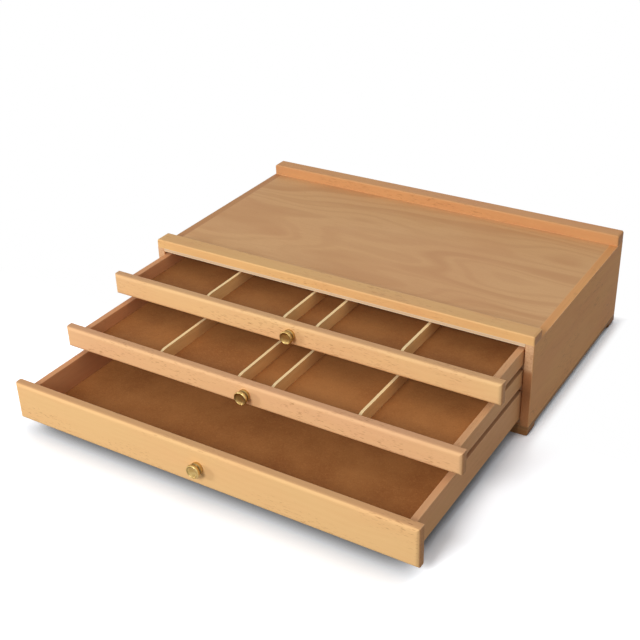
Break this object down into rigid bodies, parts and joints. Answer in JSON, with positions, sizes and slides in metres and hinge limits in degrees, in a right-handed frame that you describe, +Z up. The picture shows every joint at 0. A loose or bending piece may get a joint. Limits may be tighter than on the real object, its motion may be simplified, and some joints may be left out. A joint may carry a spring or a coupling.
{
  "type": "pastel drawer box",
  "caption": "Low beech box with a railed plywood top and three full-width brass-knobbed drawers, the upper two divided into bays for pastel sticks",
  "frame": {"origin": "on the floor, at the middle in X and Y of the space the box takes with its drawers as far out as in the picture", "axes": "+X to the right seen from the front, +Y to the back of the case, +Z up"},
  "size_m": [0.4, 0.4462, 0.103],
  "materials": {
    "beech_front": "oiled, satin",
    "beech_case": "oiled, satin",
    "beech_box": "sanded, oiled",
    "plywood": "oiled, satin",
    "hardboard": "smooth, dull",
    "brass": "polished, lightly worn",
    "plated_steel": "zinc plated"
  },
  "bodies": {
    "case": {"left_side_panel": "beech_case", "right_side_panel": "beech_case", "top_board": "plywood", "bottom_board": "plywood", "back_panel": "beech_case", "front_top_rail": "beech_case", "rear_top_rail": "beech_case", "front_foot_rail": "beech_case", "rear_foot_rail": "beech_case", "lower_left_runner": "beech_case", "lower_right_runner": "beech_case", "middle_left_runner": "beech_case", "middle_right_runner": "beech_case", "upper_left_runner": "beech_case", "upper_right_runner": "beech_case"},
    "top_drawer": {"top_drawer_front": "beech_front", "top_drawer_left_side": "beech_box", "top_drawer_right_side": "beech_box", "top_drawer_back": "beech_box", "top_drawer_floor": "hardboard", "top_drawer_knob": "brass", "top_drawer_knob_screw": "plated_steel", "top_drawer_divider_1": "plywood", "top_drawer_divider_2": "plywood", "top_drawer_divider_3": "plywood", "top_drawer_divider_4": "plywood"},
    "middle_drawer": {"middle_drawer_front": "beech_front", "middle_drawer_left_side": "beech_box", "middle_drawer_right_side": "beech_box", "middle_drawer_back": "beech_box", "middle_drawer_floor": "hardboard", "middle_drawer_knob": "brass", "middle_drawer_knob_screw": "plated_steel", "middle_drawer_divider_1": "plywood", "middle_drawer_divider_2": "plywood", "middle_drawer_divider_3": "plywood", "middle_drawer_divider_4": "plywood"},
    "bottom_drawer": {"bottom_drawer_front": "beech_front", "bottom_drawer_left_side": "beech_box", "bottom_drawer_right_side": "beech_box", "bottom_drawer_back": "beech_box", "bottom_drawer_floor": "hardboard", "bottom_drawer_knob": "brass", "bottom_drawer_knob_screw": "plated_steel"}
  },
  "joints": [
    {"name": "top_drawer_slide", "type": "slide", "parent": "case", "child": "top_drawer", "axis": [0, -1, 0], "range_m": [-0.0582, 0.1415]},
    {"name": "middle_drawer_slide", "type": "slide", "parent": "case", "child": "middle_drawer", "axis": [0, -1, 0], "range_m": [-0.1297, 0.07]},
    {"name": "bottom_drawer_slide", "type": "slide", "parent": "case", "child": "bottom_drawer", "axis": [0, -1, 0], "range_m": [-0.1997, 0]}
  ]
}
